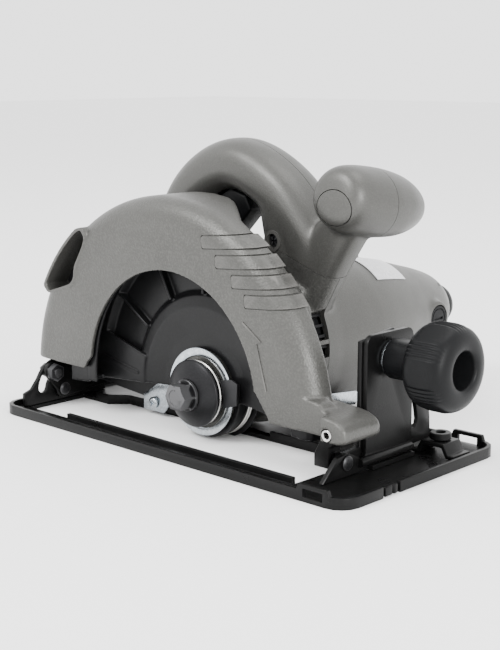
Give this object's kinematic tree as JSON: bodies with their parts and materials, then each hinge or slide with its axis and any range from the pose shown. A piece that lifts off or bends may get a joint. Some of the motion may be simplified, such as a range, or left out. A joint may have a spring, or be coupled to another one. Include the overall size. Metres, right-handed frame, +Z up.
{
  "type": "circular saw",
  "caption": "Electric circular saw with looped rear handle, egg-shaped front grip, cast blade guard, folding lower guard and a steel base with bevel and depth settings.",
  "frame": {"origin": "middle of the underside of the sole", "axes": "+X the way the saw cuts, +Y from the blade towards the motor, +Z up; the sole rests on Z = 0"},
  "size_m": [0.2995, 0.2678, 0.1729],
  "materials": {
    "guard_paint": "satin warm grey metallic paint on die-cast aluminium",
    "body_paint": "satin warm grey metallic paint on plastic",
    "black_steel": "black powder coat on pressed steel",
    "black_plastic": "moulded black plastic",
    "guard_black": "smooth black moulding, satin",
    "steel": "machined steel",
    "oiled_steel": "blackened steel",
    "zinc": "bright zinc plate",
    "copper": "enamelled copper wire and laminations",
    "carbon": "pressed carbon",
    "label": "blank white film"
  },
  "bodies": {
    "base": {"base_plate": "black_steel", "front_bracket": "black_steel", "rear_bevel_plate": "black_steel", "fence_bridge": "black_steel", "fence_collar": "black_steel", "sight_pointer": "black_steel", "front_pivot_rivet": "oiled_steel", "rear_pivot_rivet": "oiled_steel", "bevel_bolt": "steel", "bevel_washer": "zinc"},
    "clamp_knob": {"bevel_knob": "black_plastic"},
    "bevel_frame": {"bevel_quadrant": "black_steel", "pivot_tongue": "black_steel", "depth_pivot_pin": "steel", "rear_angle_plate": "black_steel", "depth_guide": "black_steel", "rear_bevel_bolt": "oiled_steel"},
    "saw_body": {"upper_guard": "guard_paint", "retaining_ring": "zinc", "guard_spring": "steel", "guard_stop_tab": "oiled_steel", "gear_housing": "guard_paint", "motor_housing": "body_paint", "vent_cap": "black_plastic", "brush_cap_front": "black_plastic", "brush_cap_rear": "black_plastic", "carbon_brush_front": "carbon", "carbon_brush_rear": "carbon", "rating_label": "label", "field_coil": "copper", "armature_bearing_front": "steel", "armature_bearing_rear": "steel", "spindle_bearing_front": "steel", "spindle_bearing_rear": "steel", "handle_near_half": "body_paint", "handle_far_half": "body_paint", "grip_cap": "body_paint", "switch_body": "black_plastic", "cord_gland": "black_plastic", "depth_bolt": "steel", "spring_bracket": "zinc", "bracket_screw": "zinc"},
    "moving_guard": {"lower_guard": "guard_black"},
    "blade_drive": {"spindle": "steel", "spindle_gear": "steel", "inner_flange": "steel", "outer_flange": "oiled_steel", "blade_bolt": "oiled_steel"},
    "armature": {"armature_shaft": "steel", "armature_core": "copper", "commutator": "copper", "cooling_fan": "black_plastic"},
    "power_trigger": {"trigger": "black_plastic"},
    "trigger_release": {"lock_off_button": "black_plastic"},
    "spindle_lock": {"shaft_lock": "zinc"},
    "depth_clamp": {"depth_lever": "black_plastic"}
  },
  "joints": [
    {"name": "bevel_clamp_turn", "type": "hinge", "parent": "base", "child": "clamp_knob", "pos_m": [0.13, 0.00706, 0.06099], "axis": [1, 0, 0], "range_deg": [0, 270]},
    {"name": "bevel_tilt", "type": "hinge", "parent": "base", "child": "bevel_frame", "pos_m": [0, -0.0285, 0.0102], "axis": [1, 0, 0], "range_deg": [0, 45]},
    {"name": "depth_swing", "type": "hinge", "parent": "bevel_frame", "child": "saw_body", "pos_m": [0.1077, -0.028, 0.0283], "axis": [0, 1, 0], "range_deg": [0, 35]},
    {"name": "lower_guard_turn", "type": "hinge", "parent": "saw_body", "child": "moving_guard", "pos_m": [-0.0048, -0.022, 0.02825], "axis": [0, -1, 0], "range_deg": [0, 150]},
    {"name": "blade_spin", "type": "hinge", "parent": "saw_body", "child": "blade_drive", "pos_m": [-0.0048, -0.01, 0.02825], "axis": [0, 1, 0], "continuous": true},
    {"name": "armature_spin", "type": "hinge", "parent": "saw_body", "child": "armature", "pos_m": [0.0054, 0.08, 0.0527], "axis": [0, 1, 0], "continuous": true},
    {"name": "trigger_pull", "type": "slide", "parent": "saw_body", "child": "power_trigger", "axis": [-0.7071, 0, 0.7071], "range_m": [0, 0.006], "stiffness_N_per_m": 500, "springref_m": -0.004},
    {"name": "lock_off_press", "type": "slide", "parent": "saw_body", "child": "trigger_release", "axis": [0, -1, 0], "range_m": [0, 0.003], "stiffness_N_per_m": 400, "springref_m": -0.003},
    {"name": "spindle_lock_press", "type": "slide", "parent": "saw_body", "child": "spindle_lock", "axis": [-1, 0, 0], "range_m": [0, 0.004], "stiffness_N_per_m": 500, "springref_m": -0.004},
    {"name": "depth_clamp_turn", "type": "hinge", "parent": "saw_body", "child": "depth_clamp", "pos_m": [-0.0522, 0.02, 0.03388], "axis": [0, -1, 0], "range_deg": [0, 45]}
  ],
  "couplings": [
    {"joint": "armature_spin", "follows": "blade_spin", "ratio": -4.3}
  ]
}
